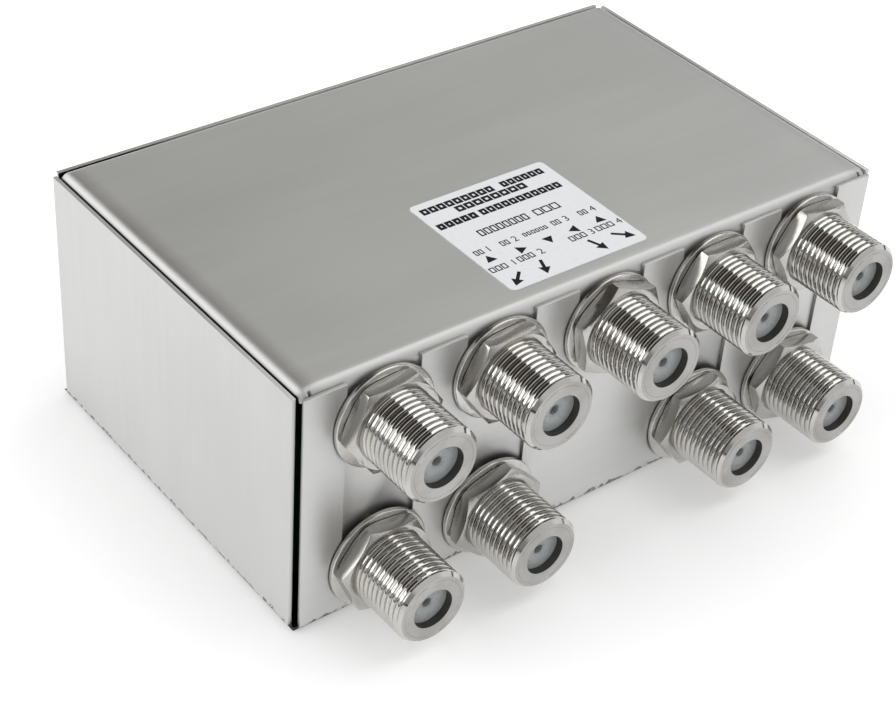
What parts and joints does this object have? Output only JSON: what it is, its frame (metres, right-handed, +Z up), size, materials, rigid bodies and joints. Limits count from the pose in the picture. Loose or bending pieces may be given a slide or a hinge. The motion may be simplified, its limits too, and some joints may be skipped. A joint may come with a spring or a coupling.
{
  "type": "coaxial splitter",
  "caption": "Folded tinplate box with screw-on coaxial sockets on its front wall, which splits and combines aerial signals for several receivers.",
  "frame": {"origin": "middle of the case's base, on the surface that it lies on", "axes": "+X along the front from the first input to the last, +Y from the front wall to the back, +Z up"},
  "size_m": [0.086, 0.0636, 0.0335],
  "materials": {
    "tinned_sheet": "tinned steel sheet, satin with faint rolling streaks",
    "nickel_plate": "bright nickel plate",
    "insulator_plastic": "pale, slightly translucent polythene",
    "contact_metal": "tinned phosphor bronze, dull",
    "label_paper": "white film sticker with dark grey print",
    "board_laminate": "green solder mask on laminate",
    "ferrite": "dark grey sintered ferrite",
    "copper_wire": "enamelled copper wire",
    "capacitor_ceramic": "fired ceramic chip"
  },
  "bodies": {
    "root": {"bottom_tray": "tinned_sheet", "top_cover": "tinned_sheet", "circuit_board": "board_laminate", "chip_capacitors": "capacitor_ceramic", "port_label": "label_paper", "in_1_body": "nickel_plate", "in_1_insulator": "insulator_plastic", "in_1_contact": "contact_metal", "in_1_washer": "nickel_plate", "in_1_nut": "nickel_plate", "in_2_body": "nickel_plate", "in_2_insulator": "insulator_plastic", "in_2_contact": "contact_metal", "in_2_washer": "nickel_plate", "in_2_nut": "nickel_plate", "terrestrial_in_body": "nickel_plate", "terrestrial_in_insulator": "insulator_plastic", "terrestrial_in_contact": "contact_metal", "terrestrial_in_washer": "nickel_plate", "terrestrial_in_nut": "nickel_plate", "in_3_body": "nickel_plate", "in_3_insulator": "insulator_plastic", "in_3_contact": "contact_metal", "in_3_washer": "nickel_plate", "in_3_nut": "nickel_plate", "in_4_body": "nickel_plate", "in_4_insulator": "insulator_plastic", "in_4_contact": "contact_metal", "in_4_washer": "nickel_plate", "in_4_nut": "nickel_plate", "out_1_body": "nickel_plate", "out_1_insulator": "insulator_plastic", "out_1_contact": "contact_metal", "out_1_washer": "nickel_plate", "out_1_nut": "nickel_plate", "out_2_body": "nickel_plate", "out_2_insulator": "insulator_plastic", "out_2_contact": "contact_metal", "out_2_washer": "nickel_plate", "out_2_nut": "nickel_plate", "out_3_body": "nickel_plate", "out_3_insulator": "insulator_plastic", "out_3_contact": "contact_metal", "out_3_washer": "nickel_plate", "out_3_nut": "nickel_plate", "out_4_body": "nickel_plate", "out_4_insulator": "insulator_plastic", "out_4_contact": "contact_metal", "out_4_washer": "nickel_plate", "out_4_nut": "nickel_plate", "splitter_core_1": "ferrite", "splitter_core_2": "ferrite", "splitter_core_3": "ferrite", "splitter_winding_1": "copper_wire", "splitter_winding_2": "copper_wire", "splitter_winding_3": "copper_wire", "filter_coil_1": "copper_wire", "filter_coil_2": "copper_wire", "filter_coil_3": "copper_wire", "filter_coil_4": "copper_wire"}
  },
  "joints": []
}
